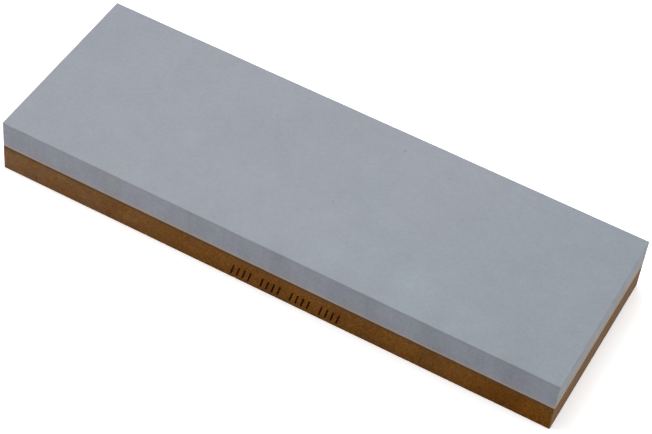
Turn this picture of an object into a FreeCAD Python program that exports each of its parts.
# Double-sided bench whetstone for carving and whittling blades.
#
# A rectangular block made of a coarse abrasive slab below and a fine abrasive slab above, held
# together by a thin layer of adhesive. The slabs are glued first and the block is then ground to
# size, so all three pieces are flush on the sides and ends, and the grinding breaks every outer
# edge with one narrow arris. The glue plane is not quite parallel to the faces: the coarse slab
# is a little thicker at the -X end than at the +X end.
#
# Frame: millimetres, +X along the length, +Y across the width, +Z up. The origin is the centre
# of the underside, which is the coarse working face that the stone rests on.

import FreeCAD
import Part
import os

LENGTH = 203.2
WIDTH = 69.85
HEIGHT = 21.5

COARSE_THICKNESS = 10.45  # at mid length
COARSE_TAPER = 0.3  # how much thicker the coarse slab is at the -X end than at the +X end
BOND_THICKNESS = 0.25

ARRIS = 0.25  # leg of the 45 degree break along every outer edge of the block

CUT_MARGIN = 5.0  # how far the layer cutters stand out past the block
PARTS_FOLDER = "parts"


def ground_block():
    """The outside of the finished stone: a block with every edge broken."""
    corner = FreeCAD.Vector(-LENGTH / 2, -WIDTH / 2, 0)
    block = Part.makeBox(LENGTH, WIDTH, HEIGHT, corner)
    return block.makeChamfer(ARRIS, block.Edges)


def coarse_top(x):
    """Height of the coarse slab's glued face at a place along the length."""
    return COARSE_THICKNESS - COARSE_TAPER * x / LENGTH


def fine_underside(x):
    """Height of the fine slab's glued face at a place along the length."""
    return coarse_top(x) + BOND_THICKNESS


def below_block(x):
    return -CUT_MARGIN


def above_block(x):
    return HEIGHT + CUT_MARGIN


def layer(bottom, top):
    """The part of the block that lies between two heights, each given as a function of x."""
    ends = (-LENGTH / 2 - CUT_MARGIN, LENGTH / 2 + CUT_MARGIN)
    corners = [(x, bottom(x)) for x in ends] + [(x, top(x)) for x in reversed(ends)]
    y = -WIDTH / 2 - CUT_MARGIN
    points = [FreeCAD.Vector(x, y, z) for x, z in corners]
    outline = Part.makePolygon(points + points[:1])
    cutter = Part.Face(outline).extrude(FreeCAD.Vector(0, WIDTH + 2 * CUT_MARGIN, 0))
    return ground_block().common(cutter).removeSplitter()


def coarse_slab():
    """Open-grained slab for setting a bevel. The stone rests on it, and it is used turned over."""
    return layer(below_block, coarse_top)


def bond_layer():
    """Adhesive film over the whole joint. Its edge shows as a thin line round the sides."""
    return layer(coarse_top, fine_underside)


def fine_slab():
    """Dense slab for finishing an edge. Its top is the fine working face."""
    return layer(fine_underside, above_block)


def main():
    os.makedirs(PARTS_FOLDER, exist_ok=True)
    pieces = {
        "coarse_slab": coarse_slab(),
        "bond_layer": bond_layer(),
        "fine_slab": fine_slab(),
    }
    for name, piece in pieces.items():
        piece.exportStep(os.path.join(PARTS_FOLDER, name + ".step"))
        print(f"{name}: {len(piece.Solids)} solid, {piece.Volume / 1000:.2f} cm3, valid {piece.isValid()}")


main()
